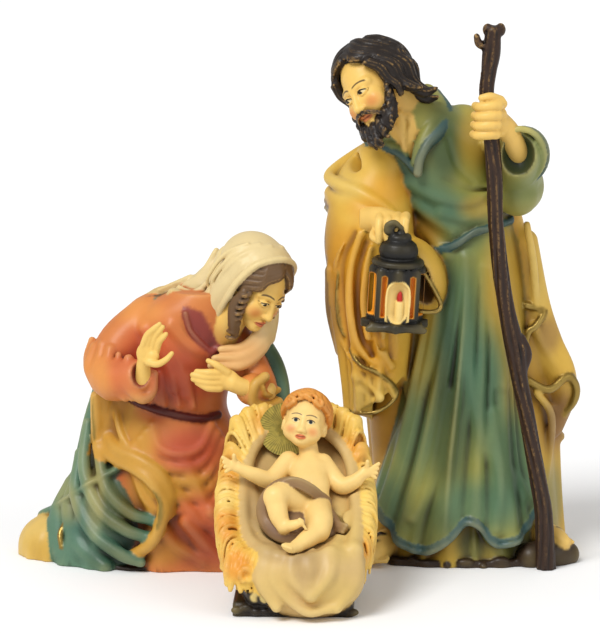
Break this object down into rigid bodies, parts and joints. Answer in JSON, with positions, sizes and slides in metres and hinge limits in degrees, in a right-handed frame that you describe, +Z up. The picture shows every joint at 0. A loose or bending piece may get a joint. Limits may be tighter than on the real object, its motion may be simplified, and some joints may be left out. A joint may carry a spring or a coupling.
{
  "type": "holy family statue",
  "caption": "Painted cast-resin holy family set: a kneeling mother, a standing father with lantern and staff, and an infant lying in a straw crib.",
  "frame": {"origin": "on the shelf, under the middle of the set's bounding box", "axes": "+Z up, +X to the right of someone facing the set, -Y towards them: the crib is in front, the kneeling mother at -X, the standing father at +X"},
  "size_m": [0.22, 0.1472, 0.2124],
  "materials": {
    "painted_resin_blue_green": "cast resin, airbrushed blue-green over ochre, satin varnish",
    "painted_resin_coral": "cast resin, airbrushed coral over ochre, satin varnish",
    "painted_resin_straw": "cast resin, straw yellow with brown washes, satin varnish",
    "painted_resin_skin": "cast resin, warm skin colour, satin varnish",
    "gold_foil": "stamped gold-coloured disc with fine rays"
  },
  "bodies": {
    "root": {"father": "painted_resin_blue_green", "mother": "painted_resin_coral", "crib": "painted_resin_straw", "child": "painted_resin_skin", "halo": "gold_foil"}
  },
  "joints": []
}
